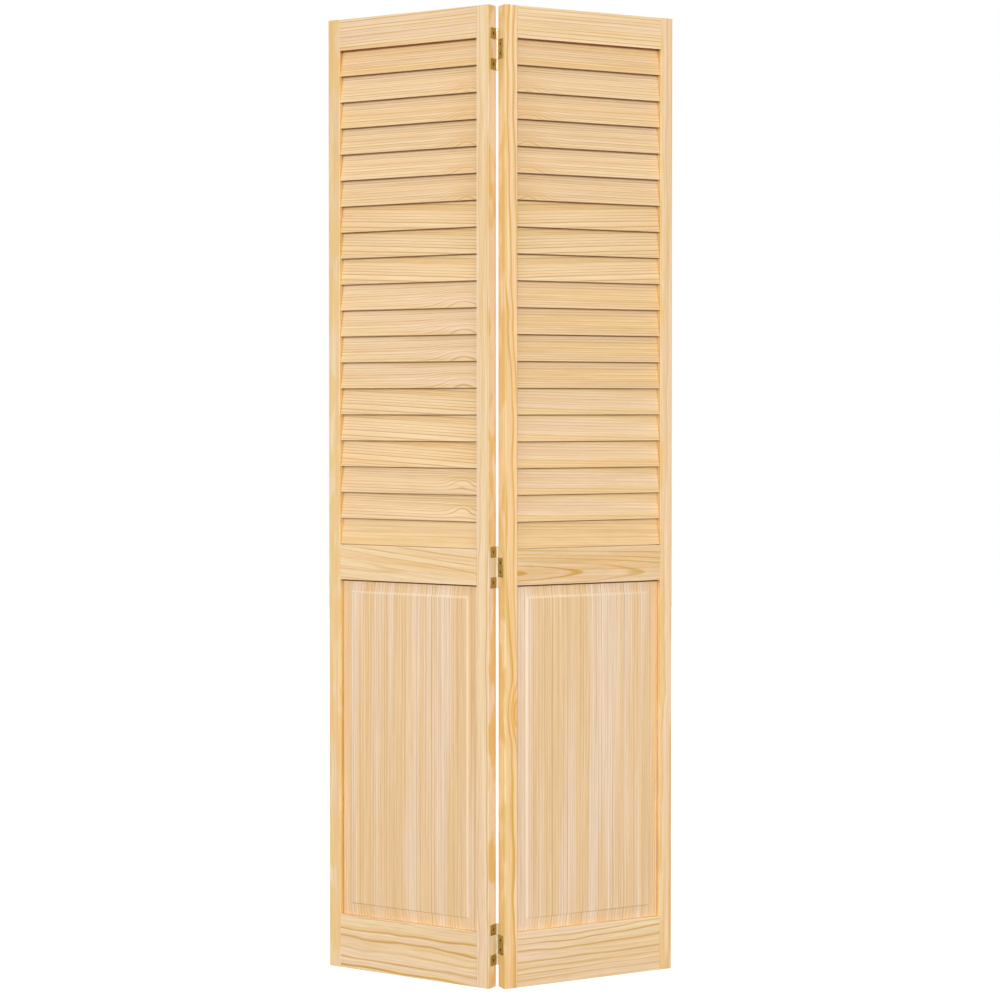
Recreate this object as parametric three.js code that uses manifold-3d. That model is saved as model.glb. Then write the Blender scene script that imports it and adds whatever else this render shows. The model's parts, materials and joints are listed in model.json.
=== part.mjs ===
// Bifold closet door: two pine leaves, louvred above and panelled below, joined by three hinges.
// Millimetres, +Z up. The fold points to -Y. The origin is on the floor, under the middle of the
// door as it stands half folded.

import * as THREE from 'three';
import { mergeVertices } from 'three/addons/utils/BufferGeometryUtils.js';
import Module from 'manifold-3d';

const wasm = await Module();
wasm.setup();

// The door
const doorHeight = 2007;
const leafWidth = 397;
const leafThickness = 28.6;
const foldTurn = THREE.MathUtils.degToRad(29); // turn of each leaf back from flat
const jointGap = 0.3; // between pieces that rest on, or are housed in, each other
const cutOverrun = 1; // how far a cut runs past the face that it opens

// Stiles and rails
const stileWidth = 29;
const topRailHeight = 66;
const midRailHeight = 74;
const bottomRailHeight = 113.5;
const panelOpeningHeight = 712;
const edgeArris = 2.2; // rounding of a stile's corners on the leaf's edge
const knuckleArris = 0.4; // rounding of a hinge stile's corner beside the knuckles
const innerArris = 0.8; // rounding beside the slats and the panel
const tenonLength = 17;
const tenonThickness = 9.5;
const tenonInset = 15; // from a rail's top and bottom edges

// Louvre slats
const slatCount = 19;
const slatWidth = 63.5;
const slatThickness = 6.4;
const slatRounding = 2.3;
const slatLean = THREE.MathUtils.degToRad(10.5);
const slatSetback = 3.2; // lower edge of a slat behind the leaf's front face
const slatHousing = 9.5; // depth of a slat's slot in a stile

// Raised panel
const tongueThickness = 6;
const tongueDepth = 8.5;
const bevelWidth = 27;
const fieldSetback = 4.8; // raised field behind the leaf's faces
const fieldStep = 1.5;

// Hinges
const hingeInset = 87.5; // middle of a hinge from the door's top or bottom
const plateThickness = 2;
const plateReach = 22; // over a stile's edge, from the leaf's back face
const plateCorner = 3;
const tabHeight = 22.4;
const centrePlateHeight = 39.6;
const knuckleGap = 0.4;
const knuckleWall = 1.25;
const pinRadius = 1.2;
const pinPlay = 0.3;
const pinTip = 1.2; // length of the pin's domed end beyond a knuckle
const pinSetback = 3; // pin's axis behind the leaves' back faces
const screwSpacing = 19.6; // between the two screws of a centre plate

// Screws
const screwLength = 16;
const screwRadius = 1.6;
const screwHeadRadius = 3.3;
const screwPoint = 3.5;
const screwPlay = 0.3;

// How finely round shapes are cut: a corner gets two facets for each step
const arrisSteps = 2;
const slatSteps = 1;
const plateSteps = 2;
const barrelSides = 24;
const pinSides = 14;
const screwSides = 12;
const domeSteps = 2;

// Sizes that follow
const quarterTurn = Math.PI / 2;
const edgeGap = plateThickness / 2 + jointGap; // pin's axis to the stiles' edges, when flat
const backY = pinSetback;
const frontY = pinSetback + leafThickness;
const middleY = (backY + frontY) / 2;
const openingWidth = leafWidth - 2 * stileWidth;
const bottomRailTop = bottomRailHeight;
const midRailBottom = bottomRailTop + panelOpeningHeight;
const midRailTop = midRailBottom + midRailHeight;
const topRailBottom = doorHeight - topRailHeight;
const slatPitch = (topRailBottom - midRailTop) / slatCount;
const barrelRadius = pinRadius + pinPlay + knuckleWall;
const hingeHeight = centrePlateHeight + 2 * (tabHeight + knuckleGap);
const hingeLevels = [
  { name: 'top', z: doorHeight - hingeInset },
  { name: 'middle', z: (midRailBottom + midRailTop) / 2 },
  { name: 'bottom', z: hingeInset },
];

// Materials
function finish(color, roughness, metalness) {
  return new THREE.MeshStandardMaterial({ color, roughness, metalness });
}
const pineFrame = finish(0xe6c89c, 0.6, 0);
const pineSlat = finish(0xe4c596, 0.6, 0);
const pinePanel = finish(0xddbd92, 0.6, 0);
const agedBrass = finish(0x92743a, 0.4, 1);

// Solids: three.js geometry in, joined or cut geometry out
function solid(geometry) {
  const bare = geometry.clone();
  bare.deleteAttribute('normal');
  bare.deleteAttribute('uv');
  const merged = mergeVertices(bare);
  return new wasm.Manifold(new wasm.Mesh({
    numProp: 3,
    vertProperties: new Float32Array(merged.attributes.position.array),
    triVerts: new Uint32Array(merged.index.array),
  }));
}

function geometryOf(manifold) {
  const { vertProperties, triVerts } = manifold.getMesh();
  const geometry = new THREE.BufferGeometry();
  geometry.setAttribute('position', new THREE.BufferAttribute(new Float32Array(vertProperties), 3));
  geometry.setIndex(new THREE.BufferAttribute(new Uint32Array(triVerts), 1));
  geometry.computeVertexNormals();
  return geometry;
}

function joined(geometries) {
  return geometries.map(solid).reduce((whole, piece) => whole.add(piece));
}

function without(whole, cuts) {
  return cuts.reduce((left, cut) => left.subtract(solid(cut)), whole);
}

function named(name, geometry, material) {
  const mesh = new THREE.Mesh(geometry, material);
  mesh.name = name;
  return mesh;
}

// Shapes
function box(x, y, z) {
  const size = [x[1] - x[0], y[1] - y[0], z[1] - z[0]];
  return new THREE.BoxGeometry(...size).translate(
    (x[0] + x[1]) / 2, (y[0] + y[1]) / 2, (z[0] + z[1]) / 2);
}

// A rectangle about the origin with the radii of its four corners, from lower left, anticlockwise
function roundedRectangle(width, height, radii) {
  const shape = new THREE.Shape();
  const corners = [[-1, -1], [1, -1], [1, 1], [-1, 1]];
  corners.forEach(([sideX, sideY], index) => {
    const radius = radii[index];
    const start = Math.PI + index * quarterTurn;
    shape.absarc(
      sideX * (width / 2 - radius), sideY * (height / 2 - radius), radius,
      start, start + quarterTurn);
  });
  shape.closePath();
  return shape;
}

function extruded(shape, depth, curveSegments) {
  return new THREE.ExtrudeGeometry(shape, { depth, curveSegments, bevelEnabled: false });
}

// Lays an outline drawn in X, Y into Y, Z, with its length along X from the given start
function alongX(shape, start, length, curveSegments) {
  return extruded(shape, length, curveSegments)
    .applyMatrix4(new THREE.Matrix4().set(0, 0, 1, start, 1, 0, 0, 0, 0, 1, 0, 0, 0, 0, 0, 1));
}

// A solid through rectangles that are centred on one line along Y
function loftedRectangles(sections) {
  const positions = sections.flatMap(({ halfX, halfZ, y }) => [
    [-halfX, y, -halfZ], [halfX, y, -halfZ], [halfX, y, halfZ], [-halfX, y, halfZ],
  ]).flat();
  const faces = [0, 1, 2, 0, 2, 3];
  for (let ring = 1; ring < sections.length; ring += 1) {
    for (let corner = 0; corner < 4; corner += 1) {
      const near = 4 * (ring - 1) + corner;
      const nearNext = 4 * (ring - 1) + (corner + 1) % 4;
      faces.push(near, near + 4, nearNext, nearNext, near + 4, nearNext + 4);
    }
  }
  const last = 4 * (sections.length - 1);
  faces.push(last, last + 2, last + 1, last, last + 3, last + 2);
  const geometry = new THREE.BufferGeometry();
  geometry.setAttribute('position', new THREE.Float32BufferAttribute(positions, 3));
  geometry.setIndex(faces);
  return geometry;
}

// A turned solid along Z: the profile's points are radius and height
function turned(profile, sides) {
  const points = profile.map(([radius, z]) => new THREE.Vector2(radius, z));
  return new THREE.LatheGeometry(points, sides).rotateX(quarterTurn);
}

// Louvre slats
function slatOutline(clearance) {
  const radius = slatRounding + clearance;
  return roundedRectangle(
    slatThickness + 2 * clearance, slatWidth + 2 * clearance, [radius, radius, radius, radius]);
}

// Half of a slat's depth and of its height as it leans in the leaf
const slatHalfDepth = (slatWidth / 2 - slatRounding) * Math.sin(slatLean)
  + (slatThickness / 2 - slatRounding) * Math.cos(slatLean) + slatRounding;
const slatHalfHeight = (slatWidth / 2 - slatRounding) * Math.cos(slatLean)
  + (slatThickness / 2 - slatRounding) * Math.sin(slatLean) + slatRounding;

function slatPlace(index) {
  return {
    y: frontY - slatSetback - slatHalfDepth,
    z: topRailBottom - (index + 1) * slatPitch + jointGap + slatHalfHeight,
  };
}

function slatBar(index, start, length, clearance) {
  const place = slatPlace(index);
  return alongX(slatOutline(clearance), start, length, slatSteps)
    .rotateX(slatLean)
    .translate(0, place.y, place.z);
}

const slatLength = openingWidth + 2 * (slatHousing - jointGap);

// Stiles, made about x = 0 with the side that holds the slats towards `inward`
function stile(inward, backArris, screwCuts) {
  const facing = inward > 0
    ? [backArris, innerArris, innerArris, edgeArris]
    : [innerArris, backArris, edgeArris, innerArris];
  const bar = extruded(
    roundedRectangle(stileWidth, leafThickness, facing), doorHeight, arrisSteps)
    .translate(0, middleY, 0);
  const innerFace = inward * stileWidth / 2;
  const into = (depth) => [innerFace - inward * depth, innerFace + inward * cutOverrun]
    .sort((a, b) => a - b);
  const slots = Array.from({ length: slatCount }, (_, index) => {
    const [start, end] = into(slatHousing);
    return slatBar(index, start, end - start, jointGap);
  });
  const groove = box(
    into(tongueDepth),
    [middleY - tongueThickness / 2 - jointGap, middleY + tongueThickness / 2 + jointGap],
    [bottomRailTop - tongueDepth, midRailBottom + tongueDepth]);
  const mortises = [[0, bottomRailTop], [midRailBottom, midRailTop], [topRailBottom, doorHeight]]
    .map(([low, high]) => box(
      into(tenonLength),
      [middleY - tenonThickness / 2 - jointGap, middleY + tenonThickness / 2 + jointGap],
      [low + tenonInset - jointGap, high - tenonInset + jointGap]));
  return geometryOf(without(solid(bar), [...slots, groove, ...mortises, ...screwCuts]));
}

// Rails, made about x = 0, with a stub tenon at each end
function rail(low, high, cuts) {
  const halfLength = openingWidth / 2 - jointGap;
  const radii = [innerArris, innerArris, innerArris, innerArris];
  const bar = alongX(
    roundedRectangle(leafThickness, high - low, radii), -halfLength, 2 * halfLength, arrisSteps)
    .translate(0, middleY, (low + high) / 2);
  const tenonReach = openingWidth / 2 + tenonLength - jointGap;
  const tenons = box(
    [-tenonReach, tenonReach],
    [middleY - tenonThickness / 2, middleY + tenonThickness / 2],
    [low + tenonInset, high - tenonInset]);
  return geometryOf(without(joined([bar, tenons]), cuts));
}

function tongueGroove(low, high) {
  const reach = openingWidth / 2 + cutOverrun;
  return box(
    [-reach, reach],
    [middleY - tongueThickness / 2 - jointGap, middleY + tongueThickness / 2 + jointGap],
    [low, high]);
}

function topRail() {
  const reach = openingWidth / 2 + cutOverrun;
  const slatGroove = slatBar(0, -reach, 2 * reach, jointGap);
  return rail(topRailBottom, doorHeight, [slatGroove]);
}

function midRail() {
  const groove = tongueGroove(midRailBottom - cutOverrun, midRailBottom + tongueDepth);
  return rail(midRailBottom, midRailTop, [groove]);
}

function bottomRail() {
  const groove = tongueGroove(bottomRailTop - tongueDepth, bottomRailTop + cutOverrun);
  return rail(0, bottomRailTop, [groove]);
}

// Raised panel, alike on both faces, with a tongue all round
function raisedPanel() {
  const opening = { halfX: openingWidth / 2, halfZ: panelOpeningHeight / 2 };
  const inset = (distance) => ({
    halfX: opening.halfX - distance,
    halfZ: opening.halfZ - distance,
  });
  const reach = tongueDepth - jointGap;
  const fieldHalf = leafThickness / 2 - fieldSetback;
  const face = [
    { ...inset(bevelWidth), y: fieldHalf },
    { ...inset(bevelWidth), y: fieldHalf - fieldStep },
    { ...inset(0), y: tongueThickness / 2 },
    { ...inset(-reach), y: tongueThickness / 2 },
  ];
  const back = face.map((section) => ({ ...section, y: -section.y }));
  return loftedRectangles([...back, ...face.reverse()])
    .translate(0, middleY, bottomRailTop + panelOpeningHeight / 2);
}

// Hinges: the pin is at x = 0, y = 0, and a leaf of the door lies towards `side`
function plateBlank(low, high) {
  const end = backY + plateReach;
  const outline = roundedRectangle(end, high - low, [0, plateCorner, plateCorner, 0]);
  return alongX(outline, -plateThickness / 2, plateThickness, plateSteps)
    .translate(0, end / 2, (low + high) / 2);
}

function knuckle(low, high) {
  return turned([[0, low], [barrelRadius, low], [barrelRadius, high], [0, high]], barrelSides);
}

function knuckleBore(low, high) {
  const radius = pinRadius + pinPlay;
  const from = low - cutOverrun;
  const to = high + cutOverrun;
  return turned([[0, from], [radius, from], [radius, to], [0, to]], barrelSides);
}

// The space of a countersunk screw: its head is at the plate's face, its point is in the stile
function screwHole(side, z) {
  const head = screwHeadRadius + screwPlay;
  const profile = [
    [0, -cutOverrun], [head, -cutOverrun], [head, 0], [screwRadius, head - screwRadius],
    [screwRadius, screwLength - screwPoint], [0, screwLength],
  ];
  return turned(profile, screwSides)
    .rotateY(side * quarterTurn)
    .translate(-side * plateThickness / 2, backY + plateReach / 2, z);
}

// A pin with a domed tip at each end
function hingePin(z) {
  const half = hingeHeight / 2;
  const dome = Array.from({ length: domeSteps }, (_, step) => {
    const turn = quarterTurn * step / domeSteps;
    return [pinRadius * Math.cos(turn), half + pinTip * Math.sin(turn)];
  });
  const upper = [...dome, [0, half + pinTip]];
  const lower = upper.map(([radius, height]) => [radius, -height]).reverse();
  return turned([...lower, ...upper], pinSides).translate(0, 0, z);
}

function tabSpans(z) {
  const from = centrePlateHeight / 2 + knuckleGap;
  return [
    { place: 'upper', low: z + from, high: z + from + tabHeight },
    { place: 'lower', low: z - from - tabHeight, high: z - from },
  ];
}

function tabScrews(z) {
  return tabSpans(z).map(({ low, high }) => (low + high) / 2);
}

function plateScrews(z) {
  return [z - screwSpacing / 2, z + screwSpacing / 2];
}

// A tab turns on the pin
function hingeTab(side, { low, high }) {
  const blank = joined([plateBlank(low, high), knuckle(low, high)]);
  return geometryOf(without(blank, [knuckleBore(low, high), screwHole(side, (low + high) / 2)]));
}

// The pin is pressed into the centre plate's knuckle and stands out of it both ways
function hingePlate(side, z) {
  const low = z - centrePlateHeight / 2;
  const high = z + centrePlateHeight / 2;
  const holes = plateScrews(z).map((level) => screwHole(side, level));
  const blank = without(joined([plateBlank(low, high), knuckle(low, high)]), holes);
  return geometryOf(blank.add(solid(hingePin(z))));
}

// A leaf, with the pin at x = 0 and y = 0, its back towards the pin and its length to `side`
function leaf(name, side, screwLevels) {
  const parts = new THREE.Group();
  const hingeStileX = side * (edgeGap + stileWidth / 2);
  const outerStileX = side * (edgeGap + leafWidth - stileWidth / 2);
  const middleX = side * (edgeGap + leafWidth / 2);
  const pilots = screwLevels.map((z) => screwHole(side, z).translate(-hingeStileX, 0, 0));
  const place = (mesh, x) => {
    mesh.position.x = x;
    parts.add(mesh);
  };
  place(named(`${name}_hinge_stile`, stile(side, knuckleArris, pilots), pineFrame), hingeStileX);
  place(named(`${name}_outer_stile`, stile(-side, edgeArris, []), pineFrame), outerStileX);
  place(named(`${name}_top_rail`, topRail(), pineFrame), middleX);
  place(named(`${name}_mid_rail`, midRail(), pineFrame), middleX);
  place(named(`${name}_bottom_rail`, bottomRail(), pineFrame), middleX);
  for (let index = 0; index < slatCount; index += 1) {
    const number = String(index + 1).padStart(2, '0');
    const slat = slatBar(index, -slatLength / 2, slatLength, 0);
    place(named(`${name}_slat_${number}`, slat, pineSlat), middleX);
  }
  place(named(`${name}_panel`, raisedPanel(), pinePanel), middleX);
  return parts;
}

// The left leaf holds the tabs, and the right leaf holds the centre plates with the pins
const left = leaf('left', 1, hingeLevels.flatMap(({ z }) => tabScrews(z)));
const right = leaf('right', -1, hingeLevels.flatMap(({ z }) => plateScrews(z)));
for (const { name, z } of hingeLevels) {
  for (const span of tabSpans(z)) {
    left.add(named(`${name}_hinge_${span.place}_tab`, hingeTab(1, span), agedBrass));
  }
  right.add(named(`${name}_hinge_plate_and_pin`, hingePlate(-1, z), agedBrass));
}
left.rotation.z = Math.PI - foldTurn;
right.rotation.z = Math.PI + foldTurn;

// The pin's place puts the folded door's middle over the origin
const nearest = (edgeGap + edgeArris) * Math.sin(foldTurn)
  - (frontY - edgeArris) * Math.cos(foldTurn) - edgeArris;
const farthest = (edgeGap + leafWidth - edgeArris) * Math.sin(foldTurn)
  - (backY + edgeArris) * Math.cos(foldTurn) + edgeArris;
const door = new THREE.Group();
door.add(left, right);
door.position.y = -(nearest + farthest) / 2;

export default door;
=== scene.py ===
# Bifold closet door: the looks of its pine leaves and brass hinges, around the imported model.
import json
import math
import random

import bmesh
import bpy
from mathutils import Matrix, Vector


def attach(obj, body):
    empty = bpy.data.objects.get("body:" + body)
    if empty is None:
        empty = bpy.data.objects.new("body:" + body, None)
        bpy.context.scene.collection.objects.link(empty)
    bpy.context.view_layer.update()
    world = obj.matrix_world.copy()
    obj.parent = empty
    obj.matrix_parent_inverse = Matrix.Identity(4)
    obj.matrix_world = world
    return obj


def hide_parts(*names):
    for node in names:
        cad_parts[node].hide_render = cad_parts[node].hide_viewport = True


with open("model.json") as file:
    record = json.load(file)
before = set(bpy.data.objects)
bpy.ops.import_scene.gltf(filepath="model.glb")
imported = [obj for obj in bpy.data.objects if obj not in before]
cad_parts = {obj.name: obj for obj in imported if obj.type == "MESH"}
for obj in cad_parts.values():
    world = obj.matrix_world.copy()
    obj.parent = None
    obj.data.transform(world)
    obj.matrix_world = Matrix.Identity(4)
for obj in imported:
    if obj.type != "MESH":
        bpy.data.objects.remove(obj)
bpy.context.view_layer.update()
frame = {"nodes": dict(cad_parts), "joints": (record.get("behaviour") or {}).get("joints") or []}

MM = 0.001
WELD_DISTANCE = 0.002 * MM

# The door's sizes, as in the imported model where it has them
DOOR_HEIGHT = 2007 * MM
LEAF_WIDTH = 397 * MM
LEAF_THICKNESS = 28.6 * MM
FOLD_TURN = math.radians(29)
STILE_WIDTH = 29 * MM
TOP_RAIL_HEIGHT = 66 * MM
MID_RAIL_HEIGHT = 74 * MM
BOTTOM_RAIL_HEIGHT = 113.5 * MM
PANEL_OPENING_HEIGHT = 712 * MM
JOINT_GAP = 0.3 * MM

SLAT_COUNT = 19
SLAT_WIDTH = 63.5 * MM
SLAT_THICKNESS = 6.4 * MM
SLAT_ROUNDING = 2.3 * MM
SLAT_ROUNDING_STEPS = 5
SLAT_LEAN = math.radians(10.5)
SLAT_SETBACK = 3.2 * MM
SLAT_HOUSING = 9.5 * MM
SLAT_END_EASE = 0.5 * MM

TONGUE_THICKNESS = 6 * MM
TONGUE_REACH = 8.2 * MM
TONGUE_EASE = 0.4 * MM
BEVEL_WIDTH = 22.5 * MM
FIELD_SETBACK = 4.8 * MM
FIELD_STEP = 2.6 * MM
OGEE_WIDTH = 6 * MM
OGEE_STEPS = 10

HINGE_INSET = 87.5 * MM
PLATE_FACE = 0.1 * MM
PLATE_BACK = 1 * MM
PLATE_REACH = 25 * MM
PLATE_CORNER = 3 * MM
PLATE_CORNER_STEPS = 6
PLATE_EASE = 0.3 * MM
TAB_HEIGHT = 22.4 * MM
CENTRE_PLATE_HEIGHT = 39.6 * MM
KNUCKLE_GAP = 0.4 * MM
KNUCKLE_RADIUS = 2.75 * MM
KNUCKLE_BORE = 1.5 * MM
REFLECTION_MARGIN = 0.05 * MM
SEAM_WIDTH = 0.25 * MM
SEAM_START = 1.6 * MM
SEAM_END = 3.2 * MM
PIN_RADIUS = 1.2 * MM
PIN_TIP = 1.2 * MM
PIN_TIP_STEPS = 5
BACK_Y = 3 * MM
SCREW_SPACING = 19.6 * MM
SCREW_LINE = 14 * MM
SCREW_LENGTH = 15 * MM
SCREW_RADIUS = 1.6 * MM
SCREW_CORE = 1.15 * MM
SCREW_SINK = 0.05 * MM
SCREW_HEAD_RADIUS = 3.3 * MM
SCREW_HEAD_RIM = 0.25 * MM
SCREW_SEAT = 3.6 * MM
HOLE_DEPTH = 3 * MM
CUT_MARGIN = 1 * MM
SCREW_POINT = 3.5 * MM
SCREW_TIP_RADIUS = 0.02 * MM
THREAD_START = 4.5 * MM
THREAD_PITCH = 1.3 * MM
THREAD_STEPS = 64
RIDGE_HALF_WIDTH = 0.25
SCREW_TURNS = (0.3, 1.2)
RECESS_REACH = 1.9 * MM
RECESS_HALF_ARM = 0.42 * MM
RECESS_DEPTH = 1.3 * MM
RECESS_FLOOR_REACH = 0.45 * RECESS_REACH
RECESS_FLOOR_HALF_ARM = 0.7 * RECESS_HALF_ARM

# How many sides the turned parts have
KNUCKLE_SIDES = 40
HOLE_SIDES = 32
PIN_SIDES = 28
SCREW_SIDES = 24

# Sizes that follow
OPENING_WIDTH = LEAF_WIDTH - 2 * STILE_WIDTH
MID_RAIL_BOTTOM = BOTTOM_RAIL_HEIGHT + PANEL_OPENING_HEIGHT
MID_RAIL_TOP = MID_RAIL_BOTTOM + MID_RAIL_HEIGHT
TOP_RAIL_BOTTOM = DOOR_HEIGHT - TOP_RAIL_HEIGHT
SLAT_PITCH = (TOP_RAIL_BOTTOM - MID_RAIL_TOP) / SLAT_COUNT
SLAT_VISIBLE = SLAT_PITCH / math.cos(SLAT_LEAN)
EDGE_GAP = PLATE_BACK + JOINT_GAP
FRONT_Y = BACK_Y + LEAF_THICKNESS
MIDDLE_Y = (BACK_Y + FRONT_Y) / 2
LEAF_MIDDLE_X = EDGE_GAP + LEAF_WIDTH / 2
HINGE_LEVELS = {
    "top": DOOR_HEIGHT - HINGE_INSET,
    "middle": (MID_RAIL_BOTTOM + MID_RAIL_TOP) / 2,
    "bottom": HINGE_INSET,
}
TAB_START = CENTRE_PLATE_HEIGHT / 2 + KNUCKLE_GAP
TAB_END = TAB_START + TAB_HEIGHT

# Directions in a leaf: along its width from the pin, and up
WIDTHWAYS = Vector((1, 0, 0))
UPWARDS = Vector((0, 0, 1))

# Further away than any point of a board, where it has no knot, raised field or long corners
NO_KNOT = Vector((9, 9, 9))
NO_RIM = 9.0
NO_CORNERS = 1.0

# The signs of a rectangle's corners, anticlockwise
CORNERS = ((-1, -1), (1, -1), (1, 1), (-1, 1))


def leaf_matrix(side):
    """Turns leaf directions into the door's: side is -1 for the left leaf, 1 for the right one."""
    cosine, sine = math.cos(FOLD_TURN), math.sin(FOLD_TURN)
    pin = Vector(frame["joints"][0]["pos_m"])
    return Matrix((
        (side * cosine, side * sine, 0, 0),
        (sine, -cosine, 0, pin.y),
        (0, 0, 1, 0),
        (0, 0, 0, 1),
    ))


LEAVES = {"left": leaf_matrix(-1), "right": leaf_matrix(1)}


# Colours, given as they look on a screen
def shade(red, green, blue):
    def linear(value):
        share = value / 255
        return share / 12.92 if share <= 0.04045 else ((share + 0.055) / 1.055) ** 2.4
    return (linear(red), linear(green), linear(blue), 1.0)


# Spots to the metre of each kind of figure, in x, y and z, where x runs along the wood
FIGURES = {
    "bends": (2.6, 9, 9),
    "ripples": (10, 24, 24),
    "rippled stretches": (3.1, 14, 14),
    "faint stretches": (2.2, 30, 30),
    "drifts": (0.9, 32, 12),
    "streaks": (1.8, 100, 36),
    "lines": (2.4, 260, 60),
    "fibres": (16, 620, 620),
    "resin ducts": (60, 900, 900),
    "resin swings": (16, 40, 40),
    "resin patches": (9, 26, 26),
    "brush strokes": (900, 900, 240),
}

# Where each kind of patch begins in its noise, and where it is full
PATCH_EDGES = {
    "rippled stretches": (0.4, 0.62),
    "faint stretches": (0.25, 0.6),
    "drifts": (0.42, 0.6),
    "resin ducts": (0.7, 0.8),
    "resin patches": (0.43, 0.58),
}
BLOTCH_EDGE = (0.36, 0.62)

# Rings: how they differ from year to year, and how each one rises to its late wood and ends
YEARS_CHANGE = 0.28
YEARS_DIFFER = 2.6
LATE_PEAK = 0.9
LATE_END = 0.92
FAINTEST_YEAR = 0.4
FAINTEST_STRETCH = 0.5
LEAST_RIPPLE = 0.25

# Colour: what takes part in it, and how strongly. Fibres change red least and blue most
BROWNING = (0.65, 1.0, 1.5)
BLUSH_COOLS = 0.6
LINES_SHARE = 1.2
DUCT_DARKNESS = 0.06
KNOT_CORE_EDGE = (1.2 * MM, 3.5 * MM)
KNOT_CORE_DEPTH = 0.8
WALL_EDGE = (0.1 * MM, 0.8 * MM)
RESIN_FULL = 0.3 * MM
RESIN_SWING = 30 * MM
EDGE_REACH = 2.6 * MM
RIM_REACH = 4 * MM
# Painted shade where slats overlap, stopping a little short of their visible faces, and a painted
# shadow along a panel's top end below the rail
SLAT_BARE = 0.8 * MM
PANEL_PAINTED_SHADOW = 3.8 * MM
PAINTED_SHADE_SOFTNESS = 1 * MM
PAINTED_SHADE_DARKNESS = 0.95
# Painted highlight on the long corners, also the paler wood that sanding leaves there, and on the
# panels' field rim
SANDED_AND_HIGHLIT_WOOD = shade(255, 228, 182)
PANEL_RIM_HIGHLIGHT_WOOD = shade(255, 238, 210)
KNOT_WOOD = shade(140, 84, 40)
RESIN_WOOD = shade(238, 196, 122)
# The colour of the painted shade between slats and of the painted shadow on the panels
PAINTED_SHADE_WOOD = shade(106, 62, 16)

# Gloss and relief
PINE_IOR = 1.45
PINE_GLOSS = 0.3
PINE_ROUGHNESS = 0.62
LATE_WOOD_SHINE = 0.12
LATE_WOOD_RELIEF = 0.6
FIBRE_RELIEF = 0.5
DUCT_RELIEF = 0.4
BRASS_ROUGHNESS = (0.26, 0.5)
BRUSHED_DULLNESS = 0.25
BRUSHED_RELIEF = 0.6


# Shader wiring
class Wiring:
    """Places shader nodes in one tree and joins them."""

    def __init__(self, tree):
        self.tree = tree

    def feed(self, socket, value):
        if isinstance(value, bpy.types.NodeSocket):
            self.tree.links.new(value, socket)
        else:
            socket.default_value = value

    def add(self, kind, inputs=None, **settings):
        made = self.tree.nodes.new(kind)
        for name, value in settings.items():
            setattr(made, name, value)
        for key, value in (inputs or {}).items():
            self.feed(made.inputs[key], value)
        return made

    def effect(self, group, facts):
        """Places a group and feeds each of its sockets the fact of that name."""
        made = self.add("ShaderNodeGroup", node_tree=group)
        for socket in made.inputs:
            self.feed(socket, facts[socket.name])
        return made.outputs

    def math(self, operation, *values, clamp=False):
        made = self.add(
            "ShaderNodeMath", dict(enumerate(values)), operation=operation, use_clamp=clamp)
        return made.outputs[0]

    def times(self, product, *factors):
        for factor in factors:
            product = self.math("MULTIPLY", product, factor)
        return product

    def less(self, value, part):
        return self.math("SUBTRACT", value, part)

    def vector(self, operation, *values):
        made = self.add("ShaderNodeVectorMath", dict(enumerate(values)), operation=operation)
        return made.outputs["Value" if operation == "LENGTH" else "Vector"]

    def scaled(self, vector, factor):
        made = self.add("ShaderNodeVectorMath", {0: vector, "Scale": factor}, operation="SCALE")
        return made.outputs["Vector"]

    def split(self, vector):
        return self.add("ShaderNodeSeparateXYZ", {0: vector}).outputs

    def step(self, value, low, high, start=0.0, end=1.0):
        made = self.add(
            "ShaderNodeMapRange",
            {"Value": value, "From Min": low, "From Max": high, "To Min": start, "To Max": end},
            interpolation_type="SMOOTHSTEP")
        return made.outputs[0]

    def spread(self, value, start, end):
        made = self.add("ShaderNodeMapRange", {"Value": value, "To Min": start, "To Max": end})
        return made.outputs[0]

    def noise(self, place, detail=2.0, roughness=0.5, colour=False):
        made = self.add(
            "ShaderNodeTexNoise",
            {"Vector": place, "Scale": 1.0, "Detail": detail, "Roughness": roughness})
        return made.outputs[1 if colour else 0]

    def figure(self, kind, place, **look):
        """Noise drawn out along the wood or metal as this kind of figure is."""
        return self.noise(self.vector("MULTIPLY", place, FIGURES[kind]), **look)

    def patches(self, kind, place, start=0.0, end=1.0, **look):
        return self.step(self.figure(kind, place, **look), *PATCH_EDGES[kind], start, end)

    def mix(self, factor, first, second):
        made = self.add("ShaderNodeMix", {0: factor, 6: first, 7: second}, data_type="RGBA")
        return made.outputs[2]


def effect_group(name, inputs, outputs):
    """An empty node group with sockets named by kind, and its wiring."""
    group = bpy.data.node_groups.new(name, "ShaderNodeTree")
    for sockets, way in ((inputs, "INPUT"), (outputs, "OUTPUT")):
        for kind, labels in sockets.items():
            for label in labels.split(", "):
                group.interface.new_socket(label, in_out=way, socket_type="NodeSocket" + kind)
    wiring = Wiring(group)
    given = wiring.add("NodeGroupInput").outputs
    wanted = wiring.add("NodeGroupOutput").inputs
    return group, wiring, given, wanted


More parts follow.
